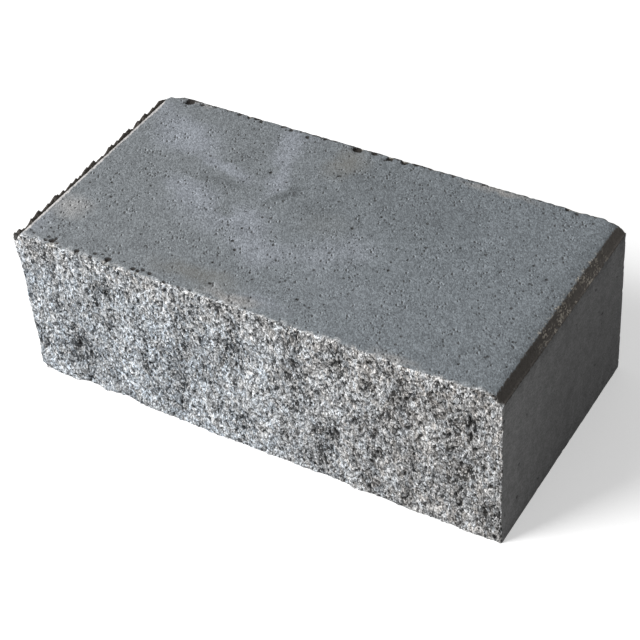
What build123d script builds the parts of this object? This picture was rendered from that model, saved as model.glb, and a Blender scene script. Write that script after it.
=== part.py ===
from build123d import *

import os
from math import cos, exp, radians, sin, tau

# Garden wall block: one piece of pressed concrete with a split front face.
#
# Frame: X runs along the wall, -Y is the split front, +Y the back, +Z is up.
# The origin lies on the bed, midway between the ends and midway between the back
# and the mean split line. All sizes are in millimetres.
#
# The press shoe leaves a bevel along each end of the top, and outside it a thin
# ragged fin of concrete that rose between the shoe and the mould. The block is
# then split along its front. The split runs out unevenly through the top, the bed
# and both ends, with hollows where the concrete pulled away and bulges between them.

# Overall size
length = 290
depth = 145
height = 100

# Bevel along each end of the top
bevel_width = 4.4
bevel_drop = 4.4

# Fin outside each bevel, with its mean height above the foot of the bevel
fin_root = 1.2
fin_tip = 0.5
left_fin_height = 3.3
right_fin_height = 0.5
# The crest of a fin is torn in steps that rise towards the back: the lengths of the long
# and the short steps, the height of a long one as a share of the fin's mean height, and
# the height of a short one as a share of a long one's
fin_long_step = 17
fin_short_step = 7.2
fin_raggedness = 0.55
fin_short_share = 0.8
fin_crest_spacing = 1
fin_cut_clearance = 1

# The moulded back corners
back_corner_radius = 1

# Wear on the two back corners of the top, measured from the sharp corner
wear_along_back = 13
wear_along_end = 6
wear_drop = 3.2

# Split face: waste in front of it, and how its surface is followed
split_waste = 20
split_overrun = 8
split_sections = 52
split_points = 24
# How far the whole split stands proud of the mean line before the hollows
split_proud = 0.5
# How far the bed edge of the split swings out at the +X end
split_twist = 0.8
# Each wave of the split: crest, wavelength, bearing from X and phase in degrees
split_waves = [
    (0.3, 120, 6, 200),
    (0.3, 47, 64, 140),
    (0.25, 29, 14, 75),
]
# Each bulge, or hollow where its height is negative: share of the length from the -X end,
# share of the height, half its width, half its rise, height
split_bulges = [
    (0.00, 0.08, 12, 9, 1.2),
    (0.00, 0.36, 10, 8, 1.4),
    (0.00, 0.50, 9, 6, 0.8),
    (0.00, 0.70, 9, 10, -0.7),
    (0.02, 0.92, 10, 10, 0.9),
    (0.01, 0.00, 5, 4, -1.8),
    (0.10, 0.26, 10, 12, -1.6),
    (0.11, 0.02, 7, 6, -2.1),
    (0.16, 0.62, 9, 9, 0.5),
    (0.19, 0.00, 6, 6, -1.9),
    (0.19, 0.22, 5, 7, -0.8),
    (0.19, 0.81, 5, 7, -1.2),
    (0.22, 0.24, 6, 14, 0.9),
    (0.25, 0.00, 7, 7, 1.1),
    (0.26, 0.50, 6, 10, 0.6),
    (0.29, 0.16, 6, 6, -1.0),
    (0.33, 0.34, 6, 15, -1.5),
    (0.46, 0.64, 5, 9, -1.9),
    (0.47, 0.19, 8, 8, -1.3),
    (0.50, 0.36, 6, 17, 0.8),
    (0.58, 0.00, 18, 7, 0.7),
    (0.60, 0.69, 8, 9, -1.2),
    (0.66, 0.30, 8, 9, -1.6),
    (0.69, 0.83, 5, 6, -1.1),
    (0.71, 0.58, 5, 13, 0.5),
    (0.73, 0.11, 7, 5, -1.0),
    (0.77, 0.58, 6, 14, -1.4),
    (0.82, 0.08, 7, 5, -0.9),
    (0.83, 0.77, 5, 6, -1.0),
    (0.86, 0.50, 5, 14, 0.5),
    (0.93, 0.42, 5, 11, -1.6),
    (0.94, 0.78, 5, 8, -1.6),
    (0.96, 0.02, 9, 8, 1.0),
    (0.97, 0.22, 5, 7, -0.9),
]
# How far a bulge or hollow leans towards +X for each millimetre that it rises
bulge_lean = 0.35

half_length = length / 2
half_depth = depth / 2
bevel_foot = height - bevel_drop


def split_stand_out(x, z):
    """How far the split face stands in front of the mean split line at x, z."""
    stand_out = split_proud + split_twist * (x / half_length) * (1 - 2 * z / height)
    for crest, wavelength, bearing, phase in split_waves:
        along = x * cos(radians(bearing)) + z * sin(radians(bearing))
        stand_out += crest * sin(tau * along / wavelength + radians(phase))
    for share_along, share_up, half_width, half_rise, bulge in split_bulges:
        rise = z - share_up * height
        run = x + half_length - share_along * length - bulge_lean * rise
        stand_out += bulge * exp(-((run / half_width) ** 2) - (rise / half_rise) ** 2)
    return stand_out


def spread(low, high, steps):
    """Values from low to high, evenly spaced, one more than the number of steps."""
    steps = round(steps)
    return [low + (high - low) * step / steps for step in range(steps + 1)]


def break_line(x):
    """Points up the split face at x, in Y and Z, run out past the bed and the top."""
    zs = spread(-split_overrun, height + split_overrun, split_points)
    return [(-half_depth - split_stand_out(x, z), z) for z in zs]


def fin_crest(y, fin_height):
    """Height of a fin's torn crest above the foot of the bevel at y."""
    long_step = (y / fin_long_step) % 1 - 0.5
    short_step = (y / fin_short_step) % 1 - 0.5
    return fin_height * (1 + fin_raggedness * (long_step + fin_short_share * short_step))


def worn_corner(side):
    """The plane that a worn back corner is cut to, on the end at side -1 or 1."""
    on_back = Vector(side * (half_length - wear_along_back), half_depth, height)
    on_end = Vector(side * half_length, half_depth, height - wear_drop)
    on_bevel = Vector(side * (half_length - bevel_width), half_depth - wear_along_end, height)
    outward = (on_end - on_back).cross(on_bevel - on_back)
    if outward.Z < 0:
        outward = -outward
    return Plane(origin=on_back, z_dir=outward)


with BuildPart() as wall_block:
    # Plan of the casting, with the waste that the split takes off in front
    with BuildSketch() as plan:
        with Locations((0, -split_waste / 2)):
            Rectangle(length, depth + split_waste)
        back_corners = plan.vertices().group_by(Axis.Y)[-1]
        fillet(back_corners, back_corner_radius)
    extrude(amount=height)

    # Front view, with the bevels and the full height of the fins
    with BuildSketch(Plane.XZ) as elevation:
        with BuildLine():
            Polyline(
                (-half_length, 0),
                (-half_length, height),
                (-half_length + fin_tip, height),
                (-half_length + fin_root, bevel_foot),
                (-half_length + bevel_width, height),
                (half_length - bevel_width, height),
                (half_length - fin_root, bevel_foot),
                (half_length - fin_tip, height),
                (half_length, height),
                (half_length, 0),
                close=True,
            )
        make_face()
    extrude(amount=half_depth + split_waste, both=True, mode=Mode.INTERSECT)

    # Ragged crests of the fins, cut from each end inwards
    fin_start = -half_depth - split_waste
    cut_top = height + fin_cut_clearance
    for side, fin_height in ((-1, left_fin_height), (1, right_fin_height)):
        ys = spread(fin_start, half_depth, (half_depth - fin_start) / fin_crest_spacing)
        crest = [(y, bevel_foot + fin_crest(y, fin_height)) for y in ys]
        with BuildSketch(Plane.YZ.offset(side * half_length)):
            with BuildLine():
                Polyline(*crest, (half_depth, cut_top), (fin_start, cut_top), close=True)
            make_face()
        extrude(amount=-side * fin_root, mode=Mode.SUBTRACT)

    # Wear on the back corners of the top
    for side in (-1, 1):
        split(bisect_by=worn_corner(side), keep=Keep.BOTTOM)

    # The waste breaks away in front: a loft through sections that follow the break
    waste_front = -half_depth - 2 * split_waste
    waste_end = half_length + split_overrun
    for x in spread(-waste_end, waste_end, split_sections):
        breaking = break_line(x)
        foot, head = breaking[0], breaking[-1]
        with BuildSketch(Plane.YZ.offset(x)):
            with BuildLine():
                Spline(*breaking)
                Polyline(head, (waste_front, head[1]), (waste_front, foot[1]), foot)
            make_face()
    loft(mode=Mode.SUBTRACT)

wall_block.part.label = "wall_block"

os.makedirs("parts", exist_ok=True)
export_step(wall_block.part, "parts/wall_block.step")
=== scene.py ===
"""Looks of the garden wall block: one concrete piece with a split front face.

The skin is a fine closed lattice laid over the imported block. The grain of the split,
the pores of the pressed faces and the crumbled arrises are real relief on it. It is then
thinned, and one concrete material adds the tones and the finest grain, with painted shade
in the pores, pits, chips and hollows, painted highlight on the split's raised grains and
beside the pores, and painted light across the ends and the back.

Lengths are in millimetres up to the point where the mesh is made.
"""

import bpy
import numpy as np
from mathutils import Matrix, Vector
from mathutils.bvhtree import BVHTree


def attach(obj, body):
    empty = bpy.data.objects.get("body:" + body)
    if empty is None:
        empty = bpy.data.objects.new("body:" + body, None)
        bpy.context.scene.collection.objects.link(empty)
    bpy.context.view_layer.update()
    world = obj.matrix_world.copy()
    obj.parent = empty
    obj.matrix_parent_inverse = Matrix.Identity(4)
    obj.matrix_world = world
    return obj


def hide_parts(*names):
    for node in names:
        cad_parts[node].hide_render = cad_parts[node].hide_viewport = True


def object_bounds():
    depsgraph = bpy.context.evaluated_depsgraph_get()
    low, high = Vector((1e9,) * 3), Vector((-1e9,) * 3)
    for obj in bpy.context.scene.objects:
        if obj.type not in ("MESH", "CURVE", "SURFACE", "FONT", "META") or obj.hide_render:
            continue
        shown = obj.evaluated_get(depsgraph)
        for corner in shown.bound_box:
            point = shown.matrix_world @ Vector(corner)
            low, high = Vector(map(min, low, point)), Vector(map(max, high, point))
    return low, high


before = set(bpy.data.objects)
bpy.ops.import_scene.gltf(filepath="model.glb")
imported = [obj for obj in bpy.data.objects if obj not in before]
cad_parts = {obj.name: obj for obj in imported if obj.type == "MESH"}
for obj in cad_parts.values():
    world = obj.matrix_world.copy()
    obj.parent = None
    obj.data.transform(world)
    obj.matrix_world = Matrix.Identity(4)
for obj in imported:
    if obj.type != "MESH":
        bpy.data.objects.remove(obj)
cad_low, cad_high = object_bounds()

MM = 0.001

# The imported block's planes
END = cad_high.x / MM
BACK = cad_high.y / MM
TOP = cad_high.z / MM
FOREMOST = cad_low.y / MM

# Where the bevels and the fins begin, measured from the middle of the block
BEVEL_START = 140.6
BEVEL_FOOT = 143.8
BEVEL_DROP = 4.4
BACK_CORNER_RADIUS = 1.0
MEAN_SPLIT = -72.5

# Spacing of the lattice: along and up the block, into its depth, and near its arrises
FINE_STEP = 0.5
DEPTH_STEP = 0.65
EDGE_STEP = 0.3
EDGE_ZONE = 4.0
# Spacing of the rays that read the split, and how far inside an edge they are aimed, with
# more room behind the ragged split
RAY_STEP = 1.5
NUDGE = 0.03
FRONT_NUDGE = 5 * NUDGE
# What the skin is thinned to
SKIN_TRIANGLES = 196_000

# Relief of the split face: size and height of the swells and of three sizes of grain
SWELLS = (9.0, 0.4)
STONES = (3.7, 0.7)
SAND = (1.9, 0.8)
GRIT = (1.05, 0.55)
# Pits between the grains, everywhere and in the hollows: spacing, share of the spacings
# that has one, depth
PITS = (2.5, 0.34, 1.1)
HOLLOW_PITS = (4.2, 0.32, 1.3)
# The grains lean a little towards -X as they rise, and are longer upwards than across
LEAN = -0.07
FLATTEN = 0.58
# Samples each way over which the split is averaged to find its hollows
HOLLOW_REACH = 11

# Upright streaks that the break left, sunk and torn where the last number is above 0 and
# raised where it is below; the material darkens the sunk ones and lightens the raised ones,
# partly as the paste's own tone and partly as painted shade and highlight: x, z, half width,
# half rise, lean towards +X, strength
SPLIT_STREAKS = [
    (-115, 26, 9, 15, 0.6, 1.0),
    (-45, 45, 5, 32, 0.17, 1.1),
    (-49, 24, 4, 9, 0.17, 0.5),
    (-65, 26, 4, 15, -0.3, 1.0),
    (-11, 63, 3.5, 8, 0.0, 1.2),
    (-89, 80, 3.5, 6, 0.0, 0.9),
    (-97, 62, 5, 15, 0.0, 0.7),
    (-123, 53, 5, 14, 0.0, 0.6),
    (50, 34, 3, 8, 0.0, 0.8),
    (41, 18, 4, 6, 0.0, 0.5),
    (36, 29, 4, 6, 0.0, 0.3),
    (63, 23, 4, 11, 0.0, 1.0),
    (71, 7, 5, 6, 0.0, 1.0),
    (86, 63, 5, 22, 0.25, 1.4),
    (129, 76, 5, 8, 0.0, 1.0),
    (122, 36, 5, 10, 0.2, 1.3),
    (141, 18, 7, 9, 0.0, 0.8),
    (-10, 16, 6, 8, 0.0, 0.8),
    (92, 6, 4, 9, 0.0, 0.7),
    (24, 63, 5, 8, 0.0, 0.3),
    (21, 35, 4, 12, 0.0, 0.3),
    (57, 83, 3.5, 7, 0.0, 0.5),
    (62, 55, 5, 8, 0.3, 0.5),
    (98, 48, 5, 18, 0.1, 0.5),
    (-79, 14, 7, 17, 0.0, -1.1),
    (8, 60, 6, 20, 0.15, -0.8),
    (10, 23, 6, 16, 0.0, -1.2),
    (-35, 15, 10, 14, 0.1, -0.7),
    (-113, 83, 5, 10, 0.0, -0.5),
    (-60, 80, 9, 20, 0.1, -0.5),
    (-140, 80, 5, 10, 0.0, -0.4),
    (92, 61, 2.5, 14, 0.0, -0.5),
    (74, 38, 5, 10, 0.0, -0.3),
    (127, 16, 5, 8, 0.0, -0.4),
    (28, 76, 6, 8, 0.0, -0.6),
    (125, 54, 5, 7, 0.0, -1.0),
]

# Lumps and longer gaps worn off the fins, and crust on the bevels: size and height
FIN_LUMPS = (2.6, 0.6)
FIN_GAPS = (9.0, 1.1)
CRUST = (1.8, 0.5)
# The least wear of the right fin, and how far the left one falls towards the back
RIGHT_FIN_WEAR = 0.5
LEFT_FIN_FALL = 0.6

# Wear of each arris: depth, spacing of its bites, seed. The ends are -1 left, 1 right.
FRONT_TOP_ARRIS = (0.5, 6.0, 71)
FRONT_BED_ARRIS = (0.4, 6.0, 72)
FRONT_END_ARRIS = {-1: (0.4, 6.0, 73), 1: (0.4, 6.0, 74)}
BACK_TOP_ARRIS = (0.6, 3.0, 75)
BACK_BED_ARRIS = (0.5, 4.0, 76)
BACK_END_ARRIS = (0.6, 4.0, 79)
BED_END_ARRIS = {-1: (0.35, 4.0, 77), 1: (0.35, 4.0, 78)}

# Chips on the front and back edges of the top: x along the edge, half width, depth
FRONT_CHIPS = [
    (-120, 2.6, 1.5),
    (-104, 1.8, 1.1),
    (-94, 1.5, 0.9),
    (-85, 2.0, 1.5),
    (-65, 2.0, 1.1),
    (-59, 1.5, 0.9),
    (-42, 1.4, 0.7),
]
BACK_CHIPS = [
    (-138, 4.0, 1.2),
    (117, 4.0, 1.0),
]
# Pits along the front and back arrises, where crumbs broke out, with painted shade in them: x, y,
# radius
RIM_PITS = [
    (-137.5, -67.2, 0.8),
    (-134.5, -68.6, 0.9),
    (-125, -70.6, 1.2),
    (-125, -67.8, 1.0),
    (-121.5, -69.8, 1.6),
    (-120.5, -67.4, 1.1),
    (-118, -70.4, 1.2),
    (-114, -72.2, 0.8),
    (-104, -71.0, 1.4),
    (-94, -68.4, 1.1),
    (-95, -71.6, 1.1),
    (-85, -69.6, 2.0),
    (-68.5, -69.9, 1.4),
    (-65.5, -70.2, 1.2),
    (-63.0, -68.6, 1.1),
    (-58.5, -69.3, 1.2),
    (-48, -71.6, 1.1),
    (-39, -71.7, 1.1),
    (-32, -71.2, 0.8),
    (1, -70.5, 0.8),
    (-138, 71.0, 0.9),
    (-132, 71.6, 1.0),
    (-126, 69.6, 2.8),
    (-118, 70.0, 1.3),
    (-110, 71.6, 1.0),
    (-101, 71.9, 0.9),
    (-93, 71.3, 1.3),
    (-86, 71.4, 1.4),
    (-82, 71.6, 1.3),
    (-78, 70.3, 1.2),
    (-64, 70.9, 1.0),
    (-58, 70.4, 1.3),
    (-52, 71.8, 0.9),
    (-46, 68.6, 1.2),
    (-36, 71.2, 1.3),
    (-15, 71.0, 2.9),
    (-4, 71.2, 1.7),
    (6, 70.7, 2.3),
    (15, 71.2, 2.0),
    (22, 72.0, 1.3),
    (27, 72.2, 1.1),
    (45, 70.6, 0.9),
    (54, 72.0, 0.8),
    (63, 71.9, 1.1),
    (78, 72.1, 0.8),
    (96, 72.0, 0.9),
    (112, 71.6, 1.6),
    (118, 69.8, 1.1),
    (128, 72.2, 1.2),
]
# Pores of the cast faces: spacing, share of the spacings that has one, seed
TOP_PORES = [(5.0, 0.2, 61), (3.0, 0.15, 64)]
BACK_PORES = (7.0, 0.12, 97)
END_PORES = {-1: (7.0, 0.1, 102), 1: (7.0, 0.1, 104)}
# How deep the painted shade in a pore of the back or an end is, beside a pit of the top
MOULDED_PIT_SHADE = 0.5
# Unevenness of the cast faces: half its height, size, seed
TOP_SWELL = (0.06, 28, 51)
TOP_SAND = (0.03, 2.4, 54)
BACK_SWELL = (0.03, 16, 81)
BED_SWELL = (0.08, 25, 87)
BED_SAND = (0.10, 3.0, 84)
END_SWELL = {-1: (0.03, 20, 90), 1: (0.03, 20, 92)}
END_STREAKS = (0.015, 1.5, 94)

# Camera
CAMERA_PLACE = (405.44, -599.52, 672.58)
CAMERA_RIGHT = (0.857842, 0.509120, -0.070028)
CAMERA_UP = (-0.292921, 0.596355, 0.747367)
CAMERA_BACK = (0.422261, -0.620611, 0.660710)
SENSOR_WIDTH = 36.0
FOCAL_LENGTH = 98.52


# Repeatable noise

def scramble(*whole_numbers):
    """A repeatable value from 0 to 1 for each set of whole numbers."""
    mixed = np.uint64(1469598103934665603)
    for numbers in whole_numbers:
        mixed = mixed ^ np.asarray(numbers).astype(np.int64).astype(np.uint64)
        mixed = mixed * np.uint64(0xBF58476D1CE4E5B9)
        mixed = mixed ^ (mixed >> np.uint64(31))
        mixed = mixed * np.uint64(0x94D049BB133111EB)
        mixed = mixed ^ (mixed >> np.uint64(29))
    return (mixed >> np.uint64(11)).astype(np.float64) / float(1 << 53)


def waves(a, b, size, seed):
    """Smooth noise from -1 to 1 over a plane, with features about one size across."""
    a, b = np.broadcast_arrays(a / size, b / size)
    home_a, home_b = np.floor(a), np.floor(b)
    part_a, part_b = a - home_a, b - home_b
    ease_a = part_a * part_a * (3 - 2 * part_a)
    ease_b = part_b * part_b * (3 - 2 * part_b)
    total = 0
    for step_a, weight_a in ((0, 1 - ease_a), (1, ease_a)):
        for step_b, weight_b in ((0, 1 - ease_b), (1, ease_b)):
            total = total + weight_a * weight_b * scramble(home_a + step_a, home_b + step_b, seed)
    return 2 * total - 1


def rough(a, b, size, seed, layers=3):
    """Layers of noise, each half the size and strength of the last, from -1 to 1."""
    weights = [0.5**layer for layer in range(layers)]
    parts = [w * waves(a, b, size * w, seed + n) for n, w in enumerate(weights)]
    return sum(parts) / sum(weights)


def raised(kind, a, b):
    """Noise from 0 to twice the half height of that kind of unevenness."""
    half_height, size, seed = kind
    return half_height * (1 + rough(a, b, size, seed))


def scattered(a, b, size, seed):
    """Scattered grains over a plane. Gives the distance to the nearest centre and how
    much nearer it is than the next, both as shares of the size, a value from 0 to 1 for
    each grain, and the height of a tilted facet through its centre."""
    a, b = np.broadcast_arrays(a / size, b / size)
    home_a, home_b = np.floor(a), np.floor(b)
    nearest = np.full(a.shape, 9.0)
    second = np.full(a.shape, 9.0)
    value = np.zeros(a.shape)
    slant = np.zeros(a.shape)
    for step_a in (-1, 0, 1):
        for step_b in (-1, 0, 1):
            cell_a, cell_b = home_a + step_a, home_b + step_b
            reach_a = cell_a + scramble(cell_a, cell_b, seed) - a
            reach_b = cell_b + scramble(cell_a, cell_b, seed + 1) - b
            gap = np.hypot(reach_a, reach_b)
            closer = gap < nearest
            second = np.where(closer, nearest, np.minimum(second, gap))
            value = np.where(closer, scramble(cell_a, cell_b, seed + 2), value)
            tilt_a = 2 * scramble(cell_a, cell_b, seed + 3) - 1
            tilt_b = 2 * scramble(cell_a, cell_b, seed + 4) - 1
            slant = np.where(closer, reach_a * tilt_a + reach_b * tilt_b, slant)
            nearest = np.where(closer, gap, nearest)
    return nearest, second - nearest, value, slant


def ease(low, high, value):
    """0 below low, 1 above high and smooth between."""
    share = np.clip((value - low) / (high - low), 0, 1)
    return share * share * (3 - 2 * share)


def spread(low, high, step):
    """Evenly spaced values from low to high, about one step apart."""
    return np.linspace(low, high, max(1, round((high - low) / step)) + 1)


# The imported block, read by rays

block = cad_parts["wall_block"]
block_tree = BVHTree.FromPolygons(
    [vertex.co for vertex in block.data.vertices],
    [polygon.vertices for polygon in block.data.polygons],
)


def height_below(x, y):
    """Height of the block's surface straight below a point above x, y."""
    hit = block_tree.ray_cast(Vector((x * MM, y * MM, 2 * TOP * MM)), Vector((0, 0, -1)))[0]
    return hit.z / MM if hit else np.nan


def face_behind(x, z):
    """Y of the split face straight behind a point in front of it at x, z."""
    hit = block_tree.ray_cast(Vector((x * MM, 2 * FOREMOST * MM, z * MM)), Vector((0, 1, 0)))[0]
    near_front = hit is not None and hit.y / MM < MEAN_SPLIT + EDGE_ZONE
    return hit.y / MM if near_front else np.nan


def filled(grid):
    """The grid with each missed ray given the value of the one before it."""
    for column in range(1, grid.shape[1]):
        missed = np.isnan(grid[:, column])
        grid[missed, column] = grid[missed, column - 1]
    return grid


cast_xs = spread(-END + NUDGE, END - NUDGE, RAY_STEP)
cast_zs = spread(NUDGE, TOP - NUDGE, RAY_STEP)
# Over the bevels, where a ray passes the block, the face runs on from below
cast_ys = filled(np.array([[face_behind(x, z) for z in cast_zs] for x in cast_xs]))


def averaged(grid, reach):
    """The grid averaged along both axes over that many samples each way."""
    window = np.ones(2 * reach + 1) / (2 * reach + 1)
    for axis in (0, 1):
        grid = np.apply_along_axis(
            lambda line: np.convolve(np.pad(line, reach, "edge"), window, "valid"), axis, grid
        )
    return grid


cast_hollows = cast_ys - averaged(averaged(cast_ys, HOLLOW_REACH), HOLLOW_REACH)


def between_rays(grid, x, z):
    """Value at x, z of a grid that has one value for each ray."""
    x, z = np.broadcast_arrays(np.asarray(x, float), np.asarray(z, float))
    ray_x = np.clip((x - cast_xs[0]) / (cast_xs[1] - cast_xs[0]), 0, len(cast_xs) - 1.001)
    ray_z = np.clip((z - cast_zs[0]) / (cast_zs[1] - cast_zs[0]), 0, len(cast_zs) - 1.001)
    i, k = ray_x.astype(int), ray_z.astype(int)
    u, v = ray_x - i, ray_z - k
    lower = grid[i, k] * (1 - u) + grid[i + 1, k] * u
    upper = grid[i, k + 1] * (1 - u) + grid[i + 1, k + 1] * u
    return lower * (1 - v) + upper * v


def split_y(x, z):
    """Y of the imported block's split face at x, z."""
    return between_rays(cast_ys, x, z)


def rounded(x, y):
    """x, y of the plan with square back corners, drawn in to the moulded round ones."""
    centre_x = END - BACK_CORNER_RADIUS
    centre_y = BACK - BACK_CORNER_RADIUS
    out_x, out_y = np.abs(x) - centre_x, y - centre_y
    in_corner = (out_x > 0) & (out_y > 0)
    reach = np.hypot(out_x, out_y)
    share = np.where(in_corner, np.maximum(out_x, out_y) / np.maximum(reach, 1e-9), 1)
    new_x = np.where(in_corner, np.sign(x) * (centre_x + out_x * share), x)
    new_y = np.where(in_corner, centre_y + out_y * share, y)
    return new_x, new_y


# Lattice lines: places along X, and shares of the height and of the depth

along = np.unique(np.concatenate([
    spread(-END, -END + 1.5 * EDGE_ZONE, EDGE_STEP),
    spread(-END + 1.5 * EDGE_ZONE, END - 1.5 * EDGE_ZONE, FINE_STEP),
    spread(END - 1.5 * EDGE_ZONE, END, EDGE_STEP),
]).round(6))
upward = np.unique(np.concatenate([
    spread(0, TOP - EDGE_ZONE, FINE_STEP),
    spread(TOP - EDGE_ZONE, TOP, EDGE_STEP),
]).round(6)) / TOP
whole_depth = BACK - MEAN_SPLIT
inward = np.unique(np.concatenate([
    spread(0, EDGE_ZONE, EDGE_STEP),
    spread(EDGE_ZONE, whole_depth - EDGE_ZONE, DEPTH_STEP),
    spread(whole_depth - EDGE_ZONE, whole_depth, EDGE_STEP),
]).round(6)) / whole_depth

X, UP, IN = len(along), len(upward), len(inward)


# Rest shape of each face

def reaching_back(front_y):
    """Y from the split to the back on each lattice line, from the split's own Y."""
    return front_y[:, None] + inward[None, :] * (BACK - front_y[:, None])


def top_face():
    """Points of the top, the bevels and the fins, found by rays from above."""
    aim_x = np.clip(along, -END + NUDGE, END - NUDGE)
    first_y = split_y(along, TOP)
    first_z = np.array([height_below(x, y + FRONT_NUDGE) for x, y in zip(aim_x, first_y)])
    front_y = split_y(along, first_z)
    x, y = rounded(np.repeat(along[:, None], IN, 1), reaching_back(front_y))
    aim_x = np.clip(x, -END + NUDGE, END - NUDGE)
    aim_y = np.clip(y, (front_y + FRONT_NUDGE)[:, None], BACK - NUDGE)
    z = np.array([[height_below(p, q) for p, q in zip(ps, qs)] for ps, qs in zip(aim_x, aim_y)])
    return x, y, filled(z)


def end_face(side, crest):
    """Points of the end at side -1 or 1, up to the height that the fin has along it."""
    z = crest[:, None] * upward[None, :]
    front_y = split_y(side * END, z)
    y = front_y + inward[:, None] * (BACK - front_y)
    x, y = rounded(np.full_like(y, side * END), y)
    return x, y, z


def crusted(x, y, z):
    """The top with lumps worn off its fins and crust on its bevels."""
    on_bevel = ease(BEVEL_START, BEVEL_START + 0.8, np.abs(x))
    on_fin = ease(BEVEL_FOOT, BEVEL_FOOT + 0.4, np.abs(x))
    lumps = FIN_LUMPS[1] * (1 + rough(x, y, FIN_LUMPS[0], 41)) / 2
    lumps += FIN_GAPS[1] * ease(-0.1, 0.5, waves(0.1 * x, y, FIN_GAPS[0], 42))
    lumps += np.where(x > 0, RIGHT_FIN_WEAR, LEFT_FIN_FALL * ease(50, 70, y))
    crust = CRUST[1] * (1 + rough(x, y, CRUST[0], 44)) / 2
    foot = TOP - BEVEL_DROP - CRUST[1]
    return np.maximum(z - on_bevel * crust - on_fin * lumps, np.minimum(z, foot))


top_x, top_y, top_z = top_face()
top_z = crusted(top_x, top_y, top_z)
front_z = top_z[:, :1] * upward[None, :]
front_x = np.repeat(along[:, None], UP, 1)
front_y = split_y(front_x, front_z)
back_z = top_z[:, -1:] * upward[None, :]
back_x, back_y = rounded(front_x, np.full_like(front_x, BACK))
bed_x, bed_y = rounded(np.repeat(along[:, None], IN, 1), reaching_back(split_y(along, 0)))
left_x, left_y, left_z = end_face(-1, top_z[0])
right_x, right_y, right_z = end_face(1, top_z[-1])


# Numbering of the points, each shared edge once

front_ids = np.arange(X * UP).reshape(X, UP)
back_ids = front_ids + X * UP
next_id = 2 * X * UP
top_ids = np.empty((X, IN), int)
bed_ids = np.empty((X, IN), int)
for ids, level in ((top_ids, -1), (bed_ids, 0)):
    ids[:, 1:-1] = next_id + np.arange(X * (IN - 2)).reshape(X, IN - 2)
    ids[:, 0] = front_ids[:, level]
    ids[:, -1] = back_ids[:, level]
    next_id += X * (IN - 2)
left_ids = np.empty((IN, UP), int)
right_ids = np.empty((IN, UP), int)
for ids, place in ((left_ids, 0), (right_ids, -1)):
    ids[1:-1, 1:-1] = next_id + np.arange((IN - 2) * (UP - 2)).reshape(IN - 2, UP - 2)
    ids[0], ids[-1] = front_ids[place], back_ids[place]
    ids[:, 0], ids[:, -1] = bed_ids[place], top_ids[place]
    next_id += (IN - 2) * (UP - 2)

points = np.zeros((next_id, 3))
for ids, x, y, z in (
    (front_ids, front_x, front_y, front_z),
    (back_ids, back_x, back_y, back_z),
    (bed_ids, bed_x, bed_y, np.zeros_like(bed_x)),
    (left_ids, left_x, left_y, left_z),
    (right_ids, right_x, right_y, right_z),
    (top_ids, top_x, top_y, top_z),
):
    points[ids] = np.stack([x, y, z], -1)


def quads(ids, turned):
    """Four corners of each lattice cell, facing outwards."""
    corners = [ids[:-1, :-1], ids[1:, :-1], ids[1:, 1:], ids[:-1, 1:]]
    if turned:
        corners.reverse()
    return np.stack(corners, -1).reshape(-1, 4)


cells = np.concatenate([
    quads(front_ids, False),
    quads(back_ids, True),
    quads(top_ids, False),
    quads(bed_ids, True),
    quads(left_ids, True),
    quads(right_ids, False),
])


# Relief on each face

def arris_wear(arris, place, distance, chips=()):
    """How far an arris has crumbled, at a place along it and a distance from it."""
    size, spacing, seed = arris
    ragged = rough(place, np.zeros_like(place), spacing, seed, 4)
    bite = size * np.clip(0.5 + 1.1 * ragged, 0.12, 1.6)
    for centre, half_width, depth in chips:
        bite = bite + depth * np.exp(-(((place - centre) / half_width) ** 2))
    return bite * np.clip(1 - distance / (2.2 * bite), 0, 1) ** 1.5


def split_hollows(x, z):
    """From -1 on the bulges of the split to 1 in its hollows, broken up into streaks."""
    hollow = 0.5 * between_rays(cast_hollows, x, z)
    for streak_x, streak_z, half_width, half_rise, lean, strength in SPLIT_STREAKS:
        rise = z - streak_z
        run = x - streak_x - lean * rise
        hollow = hollow + strength * np.exp(-((run / half_width) ** 2) - (rise / half_rise) ** 2)
    streaks = rough(x - 0.12 * z, 0.25 * z, 7, 101)
    broken = rough(x, 0.6 * z, 4, 105)
    return np.clip(hollow + 0.8 * streaks + 0.35 * broken, -1, 1)


def split_grain(x, z, hollows):
    """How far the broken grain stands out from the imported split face."""
    a = x - LEAN * z + 0.8 * rough(x, z, 6, 11)
    b = FLATTEN * z + 0.8 * rough(x, z, 6, 14)
    size, height = SWELLS
    stand_out = height * rough(a, b, size, 17)
    for seed, (size, height) in ((21, STONES), (31, SAND), (41, GRIT)):
        gap, margin, value, slant = scattered(a, b, size, seed)
        dome = np.clip(1 - (gap / 0.9) ** 2, 0, 1)
        stand_out += height * (0.7 * value + 0.25 * dome + 0.7 * slant - 0.5)
        stand_out -= 0.3 * height * (1 - ease(0, 0.12, margin))
    in_hollow = ease(0, 0.6, hollows)
    for seed, (size, share, depth), room in ((51, PITS, 1), (56, HOLLOW_PITS, in_hollow)):
        gap, _, value, _ = scattered(a, b, size, seed)
        pit = np.sqrt(np.clip(1 - (gap / (0.22 + 0.5 * value)) ** 2, 0, 1))
        stand_out -= np.where(value < share * room, depth * pit, 0)
    return stand_out


def pores(x, y, size, share, seed):
    """Depth of round pores scattered on that share of the cells."""
    gap, _, value, _ = scattered(x, y, size, seed)
    radius = 0.08 + 0.1 * (value / share) ** 2
    depth = size * radius * np.sqrt(np.clip(1 - (gap / radius) ** 2, 0, 1))
    return np.where(value < share, depth, 0)


shift = np.zeros_like(points)
split = np.zeros(next_id)
relief = np.zeros(next_id)
hollow = np.zeros(next_id)
worn = np.zeros(next_id)
pitted = np.zeros(next_id)

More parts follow.
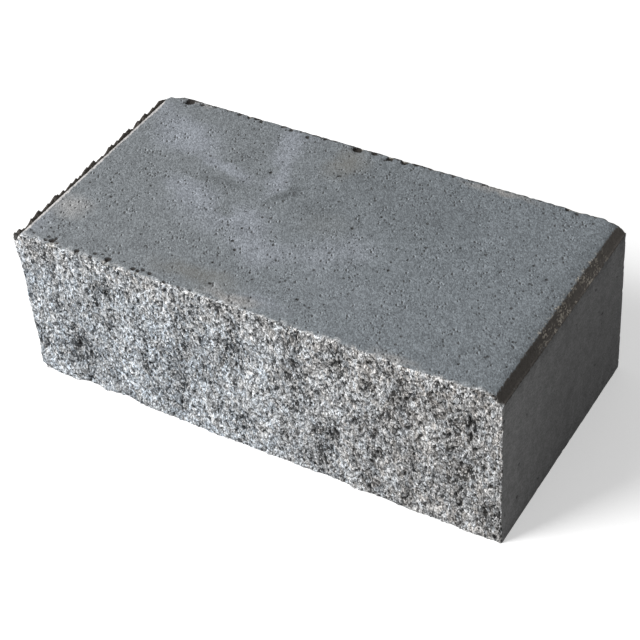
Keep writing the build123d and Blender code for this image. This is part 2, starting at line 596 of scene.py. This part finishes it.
# Split face: grain, and its four arrises
hollows = split_hollows(front_x, front_z)
stand_out = split_grain(front_x, front_z, hollows) - 0.25 * hollows
rim = top_z[:, :1]
front_wear = (
    arris_wear(FRONT_TOP_ARRIS, front_x, rim - front_z, FRONT_CHIPS)
    + arris_wear(FRONT_BED_ARRIS, front_x, front_z)
    + arris_wear(FRONT_END_ARRIS[-1], front_z, front_x + END)
    + arris_wear(FRONT_END_ARRIS[1], front_z, END - front_x)
)
shift[front_ids, 1] += front_wear - stand_out
split[front_ids] = 1
relief[front_ids] = stand_out
hollow[front_ids] = hollows
worn[front_ids] = front_wear

# Top, bevels and fins, with a rim that broke with the split, widest at the left
behind_split = top_y - top_y[:, :1]
front_rim_wear = arris_wear(FRONT_TOP_ARRIS, top_x, behind_split, FRONT_CHIPS)
back_rim_wear = arris_wear(BACK_TOP_ARRIS, top_x, BACK - top_y, BACK_CHIPS)
rim_width = 0.8 + 2.0 * ease(-60, -85, top_x) + 0.7 * ease(-62, -45, top_x) * ease(25, 5, top_x)
rim_reach = behind_split + 0.8 * rim_width * rough(top_x, top_y, 2.6, 47)
broken_rim = ease(1.0, 0.7, rim_reach / rim_width)
unbroken = ease(-62, -48, top_x) * ease(14, 0, top_x)
broken_rim *= np.clip(unbroken + 0.55 + 1.1 * rough(top_x, top_y, 3.5, 49), 0.1, 1)
uneven = raised(TOP_SWELL, top_x, top_y) + raised(TOP_SAND, top_x, top_y)
clustered = np.clip(0.6 + rough(top_x, top_y, 17, 67), 0, None)
top_pores = clustered * sum(pores(top_x, top_y, *kind) for kind in TOP_PORES)
crumbled = 1 + 0.4 * rough(top_x, top_y, 1.6, 68)
for pit_x, pit_y, radius in RIM_PITS:
    reach = np.hypot(top_x - pit_x, top_y - pit_y) * crumbled / radius
    top_pores = np.maximum(top_pores, 0.7 * radius * np.sqrt(np.clip(1 - reach**2, 0, 1)))
shift[top_ids, 2] -= front_rim_wear + back_rim_wear + uneven + top_pores
split[top_ids] = np.maximum(split[top_ids], broken_rim)
worn[top_ids] += front_rim_wear
pitted[top_ids] = top_pores

# Back
back_wear = (
    arris_wear(BACK_TOP_ARRIS, back_x, back_z[:, -1:] - back_z, BACK_CHIPS)
    + arris_wear(BACK_BED_ARRIS, back_x, back_z)
    + arris_wear(BACK_END_ARRIS, back_z, END - np.abs(back_x))
)
back_pores = pores(back_x, back_z, *BACK_PORES)
shift[back_ids, 1] -= back_wear + raised(BACK_SWELL, back_x, back_z) + back_pores
worn[back_ids] += back_wear
pitted[back_ids] = np.maximum(pitted[back_ids], MOULDED_PIT_SHADE * back_pores)

# Bed
bed_wear = (
    arris_wear(FRONT_BED_ARRIS, bed_x, bed_y - bed_y[:, :1])
    + arris_wear(BACK_BED_ARRIS, bed_x, BACK - bed_y)
    + arris_wear(BED_END_ARRIS[-1], bed_y, bed_x + END)
    + arris_wear(BED_END_ARRIS[1], bed_y, END - bed_x)
)
bed_rough = raised(BED_SAND, bed_x, bed_y) + raised(BED_SWELL, bed_x, bed_y)
shift[bed_ids, 2] += bed_wear + np.clip(bed_rough - 0.1, 0, None)
worn[bed_ids] += bed_wear

# Ends
for side, ids, y, z in ((-1, left_ids, left_y, left_z), (1, right_ids, right_y, right_z)):
    end_wear = (
        arris_wear(FRONT_END_ARRIS[side], z, y - y[:1])
        + arris_wear(BED_END_ARRIS[side], y, z)
        + arris_wear(BACK_END_ARRIS, z, BACK - y)
    )
    uneven = raised(END_SWELL[side], y, z) + raised(END_STREAKS, y, 0.2 * z)
    end_pores = pores(y, z, *END_PORES[side])
    shift[ids, 0] -= side * (end_wear + uneven + end_pores)
    worn[ids] += end_wear
    pitted[ids] = np.maximum(pitted[ids], MOULDED_PIT_SHADE * end_pores)

points = np.clip(points + shift, [-END, FOREMOST, 0], [END, BACK, TOP])


def skin_mesh():
    """The lattice as a closed mesh, with the masks that the material reads."""
    mesh = bpy.data.meshes.new("wall_block_skin")
    mesh.vertices.add(len(points))
    mesh.vertices.foreach_set("co", (points * MM).astype(np.float32).ravel())
    mesh.loops.add(cells.size)
    mesh.loops.foreach_set("vertex_index", cells.astype(np.int32).ravel())
    mesh.polygons.add(len(cells))
    mesh.polygons.foreach_set("loop_start", np.arange(0, cells.size, 4, dtype=np.int32))
    mesh.update(calc_edges=True)
    masks = {
        "split": split,
        "relief": relief,
        "hollow": hollow,
        "worn": worn,
        "pitted": pitted,
    }
    for name, values in masks.items():
        layer = mesh.attributes.new(name, "FLOAT", "POINT")
        layer.data.foreach_set("value", values.astype(np.float32))
    return mesh


def thin_out(skin):
    """Takes triangles off the skin, mostly where its shape is plain."""
    thin = skin.modifiers.new("thin", "DECIMATE")
    thin.ratio = min(1.0, SKIN_TRIANGLES / (2 * len(cells)))
    scene_state = bpy.context.evaluated_depsgraph_get()
    mesh = bpy.data.meshes.new_from_object(skin.evaluated_get(scene_state))
    skin.modifiers.clear()
    skin.data = mesh
    places = np.empty(3 * len(mesh.vertices), np.float32)
    mesh.vertices.foreach_get("co", places)
    inside = np.clip(places.reshape(-1, 3), cad_low, cad_high)
    mesh.vertices.foreach_set("co", inside.astype(np.float32).ravel())
    mesh.polygons.foreach_set("use_smooth", np.ones(len(mesh.polygons), bool))


skin = bpy.data.objects.new("concrete_skin", skin_mesh())
bpy.context.scene.collection.objects.link(skin)
thin_out(skin)


# Materials

class Shader:
    """Nodes of one material or world. Its methods add nodes and give back their outputs."""

    def __init__(self, owner):
        self.owner = owner
        owner.use_nodes = True
        self.tree = owner.node_tree
        self.tree.nodes.clear()

    def add(self, kind, inputs, output=0, **settings):
        node = self.tree.nodes.new("ShaderNode" + kind)
        for name, value in settings.items():
            setattr(node, name, value)
        for key, value in inputs.items():
            if isinstance(value, bpy.types.NodeSocket):
                self.tree.links.new(value, node.inputs[key])
            else:
                node.inputs[key].default_value = value
        return node.outputs[output]

    def math(self, operation, a, b=0.0, clamp=False):
        return self.add("Math", {0: a, 1: b}, operation=operation, use_clamp=clamp)

    def plus(self, a, b, clamp=False):
        return self.math("ADD", a, b, clamp)

    def minus(self, a, b):
        return self.math("SUBTRACT", a, b)

    def times(self, product, *factors):
        for factor in factors:
            product = self.math("MULTIPLY", product, factor)
        return product

    def step(self, value, low, high, to_low=0.0, to_high=1.0):
        inputs = {0: value, 1: low, 2: high, 3: to_low, 4: to_high}
        return self.add("MapRange", inputs, interpolation_type="SMOOTHSTEP")

    def blend(self, factor, a, b, how="MIX"):
        # The colours of a Mix node are its inputs 6 and 7
        inputs = {0: factor, 6: a, 7: b}
        return self.add("Mix", inputs, 2, data_type="RGBA", blend_type=how)

    def tinted(self, a, b):
        return self.blend(1.0, a, b, "MULTIPLY")

    def noise(self, place, size, detail=2.0, roughness=0.5, output=0):
        inputs = {"Vector": place, "Scale": 1 / size, "Detail": detail, "Roughness": roughness}
        return self.add("TexNoise", inputs, output)

    def cells(self, place, size, output="Distance"):
        return self.add("TexVoronoi", {"Vector": place, "Scale": 1 / size}, output)

    def cell_value(self, place, size, channel=0):
        """A value from 0 to 1 for each cell."""
        return self.parts(self.cells(place, size, "Color"))[channel]

    def parts(self, vector):
        return list(self.add("SeparateXYZ", {0: vector}).node.outputs)

    def mask(self, name):
        return self.add("Attribute", {}, "Fac", attribute_name=name)

    def seen(self):
        """1 for rays that show the background, straight, mirrored or through glass."""
        path = self.tree.nodes.new("ShaderNodeLightPath").outputs
        shown = self.plus(path["Is Camera Ray"], path["Is Glossy Ray"], clamp=True)
        return self.plus(shown, path["Is Transmission Ray"], clamp=True)

    def finish(self, surface, output="OutputMaterial"):
        shown = self.tree.nodes.new("ShaderNode" + output)
        self.tree.links.new(surface, shown.inputs["Surface"])
        return self.owner


def grey(value, warmth=0.0):
    """A grey of that lightness, warm above 0 and bluish below."""
    return (value * (1 + warmth), value, value * (1 - warmth), 1.0)


# Colours of the top, from the left end to the right one, and of what lies on it, with the
# lightness of its pale stains
TOP_LEFT = (0.196, 0.2115, 0.2225, 1)
TOP_RIGHT = (0.183, 0.203, 0.2185, 1)
CLOUD = (0.203, 0.2175, 0.239, 1)
BROWN = (0.215, 0.195, 0.155, 1)
PALE_LIGHTNESS = 0.335
# Colours of the bevels: their crust, the left one's pale arris and the right one's crumbs
DARK_CRUST = grey(0.04, 0.12)
LIGHT_CRUST = grey(0.11, 0.09)
PALE_ARRIS = (0.60, 0.58, 0.57, 1)
BEIGE = (0.42, 0.385, 0.33, 1)
# Colours of crumbled arrises, and of what broke out of them: dark broken concrete with painted
# shade in the chips and along the back, and painted shade in the pits
DARK_CRUMB = (0.26, 0.25, 0.22, 1)
LIGHT_CRUMB = (0.62, 0.60, 0.55, 1)
BROKEN_AND_SHADED = (0.055, 0.047, 0.04, 1)
CHIPPED_AND_SHADED = (0.06, 0.05, 0.04, 1)
PIT_SHADE = (0.03, 0.026, 0.023, 1)
# Colours of the ends and the back, and the painted shade in the pores of all cast faces
MOULDED = grey(0.168)
MOULDED_PORE_SHADE = grey(0.04)
PORE_SHADE = grey(0.06)
# Colours of the split's dark grains, from the left end to the right one, and its glints
GRAIN_LEFT = grey(0.05, -0.1)
GRAIN_RIGHT = grey(0.05, 0.05)
GLINT = grey(0.9)

# The grain of the cast faces is drawn out one way by the press: turn and stretch. A painted
# highlight lies beside each small pore, this far off it.
DRAG_TURN = 0.536
DRAG_STRETCH = 1.9
PORE_HIGHLIGHT_OFFSET = 0.8
# Small and large pores: spacing and greatest radius
SMALL_PORES = (1.45, 0.55)
LARGE_PORES = (4.3, 0.8)
# How far the limits of the bevels wander across and up
WANDER_ACROSS = 2.8
WANDER_UP = 3.0
# Grains of the split: size of the coarse ones, the fine ones and the single stones
COARSE_GRAIN = 1.05
FINE_GRAIN = 0.58
STONE_GRAIN = 2.4

# Clouds on the top: centre, half size, turn in radians, how much lighter
TOP_CLOUDS = [
    ((-120, 46), (26, 14), -0.5, 0.24),
    ((-100, 40), (24, 14), -0.45, 0.24),
    ((-114, 32), (18, 12), 0.0, 0.14),
    ((-72, 24), (24, 6), -0.15, 0.34),
    ((-48, 50), (9, 22), 0.42, 0.30),
    ((-39, 24), (8, 17), 0.0, 0.28),
    ((-80, 0), (22, 10), -0.3, 0.30),
    ((-58, -16), (38, 15), -0.2, 0.18),
    ((-36, -8), (17, 12), -0.3, 0.28),
    ((-18, -29), (22, 14), -0.3, 0.26),
    ((14, -18), (26, 15), 0.3, 0.18),
    ((28, -3), (20, 10), 0.0, 0.12),
    ((-138, 62), (10, 8), 0.0, 0.15),
    ((-52, 66), (16, 8), 0.0, 0.16),
    ((6, -64), (20, 8), 0.0, 0.18),
    ((86, 40), (12, 20), 0.0, 0.08),
    ((-138, -58), (10, 18), 0.0, 0.18),
    ((40, -40), (40, 16), 0.0, 0.06),
    ((-70, 12), (16, 4), 0.0, -0.20),
    ((-68, 38), (12, 8), 0.0, -0.14),
    ((-30, 17), (5, 12), -0.54, -0.32),
    ((-53, -6), (8, 5), 0.0, -0.18),
    ((-6, 18), (16, 16), 0.0, -0.14),
    ((8, 48), (20, 18), 0.0, -0.12),
    ((56, 40), (44, 28), 0.0, -0.09),
    ((57, 31), (4, 8), 0.4, -0.10),
    ((-36, -58), (20, 10), 0.0, -0.10),
    ((140, 0), (10, 90), 0.0, -0.20),
]
# Brown stains on the top: centre, half size, strength
BROWN_STAINS = [
    ((-13, 57), (12, 18), 0.35),
    ((-36, -59), (30, 9), 0.25),
    ((4, 4), (18, 14), 0.08),
]
# Pale stains on the top: centre, half size, strength, warmth
PALE_STAINS = [
    ((-129, -40), (13, 11), 0.85, 0.0),
    ((-9, -67), (18, 5), 0.6, 0.05),
    ((86, -69), (14, 4), 0.5, 0.05),
    ((74, 70), (24, 4), 0.6, 0.05),
    ((-121, 71), (12, 4), 0.6, 0.05),
]
# How the outlines of clouds and stains wander: size of the eddies, reach
DRIFT = (12, 14.0)


def patch(s, place, centre, half_size, turn=0.0):
    """1 at the centre of a soft oval patch of the top and 0 outside it."""
    moved = s.add("Mapping", {
        "Vector": place,
        "Location": (centre[0], centre[1], TOP),
        "Rotation": (0, 0, turn),
        "Scale": (half_size[0], half_size[1], 1000),
    }, vector_type="TEXTURE")
    reach = s.add("VectorMath", {0: moved}, "Value", operation="LENGTH")
    return s.step(reach, 1.3, 0.1)


def spotted(s, place, kind, share):
    """1 inside small round spots scattered on a share of the cells and 0 outside."""
    size, radius = kind
    pick = s.cell_value(place, size)
    spot = s.step(pick, s.minus(1.0, share), 1.0, 0.0, radius / size)
    return s.step(s.minus(s.cells(place, size), spot), 0.03, -0.03)


def surfaces(s, place):
    """Where the bevels and the moulded faces lie, with ragged limits. Gives the ragged
    distance from the middle and a mask above the foot of the bevels too."""
    x, y, z = s.parts(place)
    across = s.math("ABSOLUTE", x)
    wobble = s.minus(s.noise(place, 1.6, 3.0), 0.5)
    left_corner = s.times(s.step(y, 58, 72), s.math("LESS_THAN", x, 0.0))
    ragged_across = s.plus(across, s.times(wobble, WANDER_ACROSS))
    ragged_across = s.minus(ragged_across, s.times(left_corner, 2.0))
    ragged_z = s.plus(z, s.times(wobble, WANDER_UP))
    foot = TOP - BEVEL_DROP
    above_foot = s.step(ragged_z, foot - 1.4, foot - 0.9)
    beyond = s.step(ragged_across, BEVEL_START - 0.3, BEVEL_START + 0.3)
    bevel = s.times(beyond, above_foot, s.step(y, BACK, BACK - 0.6))
    on_end = s.times(s.step(across, END - 0.7, END - 0.4), s.minus(1.0, above_foot))
    below_rim = s.step(ragged_z, TOP - 0.9, TOP - 1.5)
    on_back = s.times(s.step(y, BACK - 1.1, BACK - 0.7), below_rim)
    moulded = s.math("MAXIMUM", on_end, on_back)
    return bevel, moulded, ragged_across, above_foot


def cast_grain(s, place):
    """Sand, specks, soft mottling and pores of the cast faces, and their lightness, with a
    painted highlight beside each small pore.
    """
    dragged = s.add("Mapping", {
        "Vector": place,
        "Rotation": (0, 0, DRAG_TURN),
        "Scale": (1, DRAG_STRETCH, 1),
    }, vector_type="TEXTURE")
    pore_highlight_place = s.add("VectorMath", {0: dragged, 1: (PORE_HIGHLIGHT_OFFSET, 0, 0)}, operation="SUBTRACT")
    sand = s.noise(dragged, 0.75, 2.0, 0.7)
    speck = s.cell_value(dragged, 0.7)
    mottle = s.noise(place, 7.0, 3.0, 0.55)
    crowd = s.step(s.noise(place, 8.0, 2.0), 0.47, 0.62, 0.08, 0.7)
    small = spotted(s, dragged, SMALL_PORES, crowd)
    pore = s.math("MAXIMUM", small, spotted(s, place, LARGE_PORES, 0.3))
    pore = s.math("MAXIMUM", pore, s.step(s.mask("pitted"), 0.05, 0.35))
    rougher = s.step(crowd, 0.08, 0.7, 0.7, 1.15)
    light = s.times(s.minus(sand, 0.5), s.times(rougher, 2.2))
    light = s.times(
        s.plus(light, 1.02),
        s.step(speck, 0.0, 1.0, 0.78, 1.22),
        s.step(mottle, 0.3, 0.7, 0.95, 1.06),
        # painted highlight beside each small pore
        s.step(spotted(s, pore_highlight_place, SMALL_PORES, crowd), 0.0, 1.0, 1.0, 1.5),
    )
    return sand, speck, mottle, pore, light


def cast_colour(s, place, light):
    """The pressed top: bluish sandy grey with soft clouds and brown and pale stains, and a ragged
    dark band along the back arris, broken concrete with painted shade in it.
    """
    x, y, z = s.parts(place)
    eddies, reach = DRIFT
    warp = s.noise(place, eddies, 3.0, output=1)
    warp = s.add("VectorMath", {0: warp, 1: (0.5, 0.5, 0.5)}, operation="SUBTRACT")
    warp = s.add("VectorMath", {0: warp, "Scale": reach}, operation="SCALE")
    drift = s.add("VectorMath", {0: place, 1: warp}, operation="ADD")
    cloud = 1.0
    for centre, half_size, turn, strength in TOP_CLOUDS:
        cloud = s.plus(cloud, s.times(patch(s, drift, centre, half_size, turn), strength))
    tint = s.blend(s.step(x, -100, 100), TOP_LEFT, TOP_RIGHT)
    tint = s.blend(s.step(cloud, 0.95, 1.3), tint, CLOUD)
    colour = s.tinted(tint, s.times(light, cloud))
    for centre, half_size, strength in BROWN_STAINS:
        colour = s.blend(s.times(patch(s, drift, centre, half_size), strength), colour, BROWN)
    for centre, half_size, strength, warmth in PALE_STAINS:
        oval = s.times(patch(s, drift, centre, half_size), strength)
        colour = s.blend(oval, colour, s.tinted(grey(PALE_LIGHTNESS, warmth), light))
    near_back = s.plus(y, s.times(s.noise(place, 3.2, 3.0), 5.5))
    # ragged dark band along the back arris: broken concrete, partly its own dark brown and partly
    # painted shade
    broken_and_shaded = s.times(s.step(near_back, BACK + 1.6, BACK + 2.2), 0.85)
    broken_and_shaded = s.times(broken_and_shaded, s.step(z, TOP - 3.8, TOP - 3.0))
    return s.blend(broken_and_shaded, colour, BROKEN_AND_SHADED)


def moulded_colour(s, place, speck, mottle):
    """The ends and the back: plain grey with faint upright streaks, a few pores with painted
    shade in them, and painted light that makes the ends lighter towards the front and all of them
    lighter towards the top.
    """
    x, y, z = s.parts(place)
    stretched = s.add("VectorMath", {0: place, 1: (1.0, 0.6, 0.08)}, operation="MULTIPLY")
    streaks = s.noise(stretched, 3.0, 3.0)
    light = s.times(
        s.step(streaks, 0.3, 0.7, 0.96, 1.04),
        s.step(mottle, 0.3, 0.7, 0.9, 1.1),
        s.step(speck, 0.0, 1.0, 0.82, 1.18),
        # painted light: the ends lighter towards the front, and the ends and the back lighter
        # towards the top
        s.step(y, -75, 0, 1.3, 1.0),
        s.step(z, 30, 95, 1.0, 1.1),
    )
    # painted shade in the pores
    in_pore = s.step(s.mask("pitted"), 0.05, 0.35, 0.0, 0.7)
    return s.blend(in_pore, s.tinted(MOULDED, light), MOULDED_PORE_SHADE)


def bevel_colours(s, place, speck):
    """The dark crust of the bevels, and where it has a pale arris and beige crumbs."""
    x, y, z = s.parts(place)
    on_left = s.math("LESS_THAN", x, 0.0)
    crust = s.blend(s.noise(place, 1.4, 3.0, 0.7), DARK_CRUST, LIGHT_CRUST)
    lighter = s.math("MAXIMUM", s.step(y, -40, 20, 1.0, 1.35), s.times(on_left, 1.7))
    crust = s.tinted(crust, lighter)
    pale = s.times(on_left, s.step(s.noise(place, 3.0, 2.0), 0.35, 0.55, 0.5, 1.0))
    patches = s.step(s.noise(place, 5.0, 2.0), 0.42, 0.62)
    crumbs = s.times(s.math("GREATER_THAN", speck, 0.66), patches)
    reached = s.times(s.step(y, -34, -22), s.step(y, 60, 34))
    beige = s.times(s.minus(1.0, on_left), s.times(crumbs, reached, 0.8))
    return crust, pale, beige


def split_colour(s, place):
    """The broken face: every grain with its own tone, painted shade where the relief sinks and
    painted highlight where it stands out, and darker in the hollows, partly darker paste and
    partly painted shade.
    """
    x, y, z = s.parts(place)
    relief = s.mask("relief")
    hollow = s.mask("hollow")
    lean_x = s.minus(x, s.times(z, LEAN))
    leaning = s.add("CombineXYZ", {0: lean_x, 1: y, 2: s.times(z, FLATTEN)})
    coarse = s.cell_value(leaning, COARSE_GRAIN)
    fine = s.cell_value(leaning, FINE_GRAIN, 1)
    stone = s.cell_value(leaning, STONE_GRAIN, 2)
    light = s.times(
        s.step(coarse, 0.0, 1.0, 0.22, 0.56),
        s.step(fine, 0.0, 1.0, 0.36, 1.8),
        # painted shade where the relief sinks and painted highlight where the grains stand out
        s.step(relief, -1.5, 0.2, 0.13, 1.26),
        # lighter on the bulges and darker in the hollows: partly the paste's own tone, partly
        # painted highlight and shade
        s.step(hollow, -1.0, 1.0, 1.26, 0.78),
        s.step(x, 20, 130, 1.0, 0.93),
        s.step(z, TOP - 1.8, TOP - 0.6, 1.0, 1.2),
    )
    tint = s.blend(s.step(x, -70, 130), grey(1.0, -0.057), grey(1.0))
    tint = s.blend(s.times(s.step(z, 70, 96), 0.5), tint, grey(1.0, 0.015))
    tint = s.tinted(tint, s.blend(stone, grey(1.0, -0.04), grey(1.0, 0.04)))
    dark_share = s.step(hollow, -0.4, 1.0, 0.08, 0.27)
    dark = s.times(s.math("LESS_THAN", coarse, dark_share), 0.85)
    dark_grain = s.blend(s.step(x, -60, 120), GRAIN_LEFT, GRAIN_RIGHT)
    colour = s.blend(dark, s.tinted(tint, light), dark_grain)
    glint = s.times(s.math("GREATER_THAN", fine, 0.95), 0.9)
    return s.blend(glint, colour, GLINT), fine


def concrete():
    """Pressed concrete: sandy cast faces, dark bevels and a bright broken split."""
    s = Shader(bpy.data.materials.new("concrete"))
    metres = s.add("TexCoord", {}, "Object")
    place = s.add("VectorMath", {0: metres, "Scale": 1 / MM}, operation="SCALE")
    split = s.mask("split")
    worn = s.mask("worn")
    pitted = s.mask("pitted")

    bevel, moulded, ragged_across, above_foot = surfaces(s, place)
    sand, speck, mottle, pore, light = cast_grain(s, place)
    crust, pale, beige = bevel_colours(s, place, speck)
    broken, grain = split_colour(s, place)

    # Cast faces and bevels
    # painted shade in the pores of the cast faces
    colour = s.blend(s.times(pore, 0.85), cast_colour(s, place, light), PORE_SHADE)
    colour = s.blend(moulded, colour, moulded_colour(s, place, speck, mottle))
    on_arris = s.times(s.step(ragged_across, BEVEL_START - 1.6, BEVEL_START - 1.1), above_foot)
    colour = s.blend(s.times(on_arris, pale), colour, PALE_ARRIS)
    colour = s.blend(bevel, colour, crust)
    near_bevel = s.times(s.step(ragged_across, BEVEL_START - 2.2, BEVEL_START - 0.8), above_foot)
    colour = s.blend(s.times(near_bevel, beige), colour, BEIGE)

    # Split face, and what has crumbled or broken out, with painted shade in the chips and pits
    crumb = s.blend(speck, DARK_CRUMB, LIGHT_CRUMB)
    colour = s.blend(s.step(worn, 0.1, 0.5, 0.0, 0.8), colour, crumb)
    colour = s.blend(split, colour, broken)
    # deep chips: dark broken concrete, partly its own colour and partly painted shade
    colour = s.blend(s.step(worn, 1.1, 1.7, 0.0, 0.85), colour, CHIPPED_AND_SHADED)
    # painted shade in the pits
    colour = s.blend(s.step(pitted, 0.35, 0.7, 0.0, 0.9), colour, PIT_SHADE)

    # Finest relief
    cast_height = s.minus(s.times(sand, 0.5), s.times(pore, 0.4))
    split_height = s.plus(s.times(s.noise(place, 0.8, 3.0, 0.7), 0.6), s.times(grain, 0.25))
    height = s.add("Mix", {0: split, 2: cast_height, 3: split_height}, data_type="FLOAT")
    normal = s.add("Bump", {"Strength": 1.0, "Distance": MM, "Height": height})
    return s.finish(s.add("BsdfPrincipled", {
        "Base Color": colour,
        "Roughness": s.step(sand, 0.3, 0.7, 0.82, 0.95),
        "Specular IOR Level": 0.18,
        "Normal": normal,
    }))


def studio_floor():
    """White to the camera, with the block's shadow, and duller to light that bounces."""
    s = Shader(bpy.data.materials.new("studio_floor"))
    seen = s.seen()
    matt = s.add("BsdfDiffuse", {"Color": s.blend(seen, FLOOR_LIT, FLOOR_SEEN)})
    metres = s.add("TexCoord", {}, "Object")
    away = s.add("VectorMath", {0: metres}, "Value", operation="LENGTH")
    strength = s.times(seen, s.step(away, *FLOOR_LIFT))
    lift = s.add("Emission", {"Color": grey(1.0), "Strength": strength})
    return s.finish(s.add("AddShader", {0: matt, 1: lift}))


skin.data.materials.append(concrete())
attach(skin, "root")
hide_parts("wall_block")


# Stage

FLOOR_SIZE = 6.0
# The floor's colour for light that bounces, and for rays that show the background
FLOOR_LIT = grey(0.4)
FLOOR_SEEN = grey(0.85)
# The glow that only those rays see: the distances from the middle, in metres, between
# which it rises, and its strength at each
FLOOR_LIFT = (0.5, 1.6, 0.4, 0.8)
KEY_PLACE = (-0.95, -1.15, 1.45)
KEY_SIZE = 0.9
KEY_POWER = 45
WORLD_STRENGTH = 0.32


def add_floor():
    """A large plane at the bed's level."""
    half = FLOOR_SIZE / 2
    mesh = bpy.data.meshes.new("floor")
    corners = [(-half, -half, 0), (half, -half, 0), (half, half, 0), (-half, half, 0)]
    mesh.from_pydata(corners, [], [(0, 1, 2, 3)])
    mesh.materials.append(studio_floor())
    floor = bpy.data.objects.new("floor", mesh)
    bpy.context.scene.collection.objects.link(floor)


def add_key():
    """One large soft lamp above the split face and to its left."""
    lamp = bpy.data.lights.new("key", "AREA")
    lamp.shape = "SQUARE"
    lamp.size = KEY_SIZE
    lamp.energy = KEY_POWER
    key = bpy.data.objects.new("key", lamp)
    key.location = KEY_PLACE
    key.rotation_euler = (-Vector(KEY_PLACE)).to_track_quat("-Z", "Y").to_euler()
    bpy.context.scene.collection.objects.link(key)


def add_world():
    """Even white surroundings, at full white where they are seen or mirrored."""
    s = Shader(bpy.data.worlds.new("studio"))
    strength = s.step(s.seen(), 0.0, 1.0, WORLD_STRENGTH, 1.0)
    surroundings = s.add("Background", {"Color": grey(1.0), "Strength": strength})
    bpy.context.scene.world = s.finish(surroundings, "OutputWorld")


def add_camera():
    """The camera, at the photograph's angle."""
    lens = bpy.data.cameras.new("camera")
    lens.sensor_width = SENSOR_WIDTH
    lens.lens = FOCAL_LENGTH
    lens.clip_start = 0.05
    camera = bpy.data.objects.new("camera", lens)
    turned = Matrix((CAMERA_RIGHT, CAMERA_UP, CAMERA_BACK)).transposed().to_4x4()
    camera.matrix_world = Matrix.Translation(Vector(CAMERA_PLACE) * MM) @ turned
    bpy.context.scene.collection.objects.link(camera)
    bpy.context.scene.camera = camera


add_floor()
add_key()
add_world()
add_camera()
bpy.context.scene.view_settings.view_transform = "Standard"
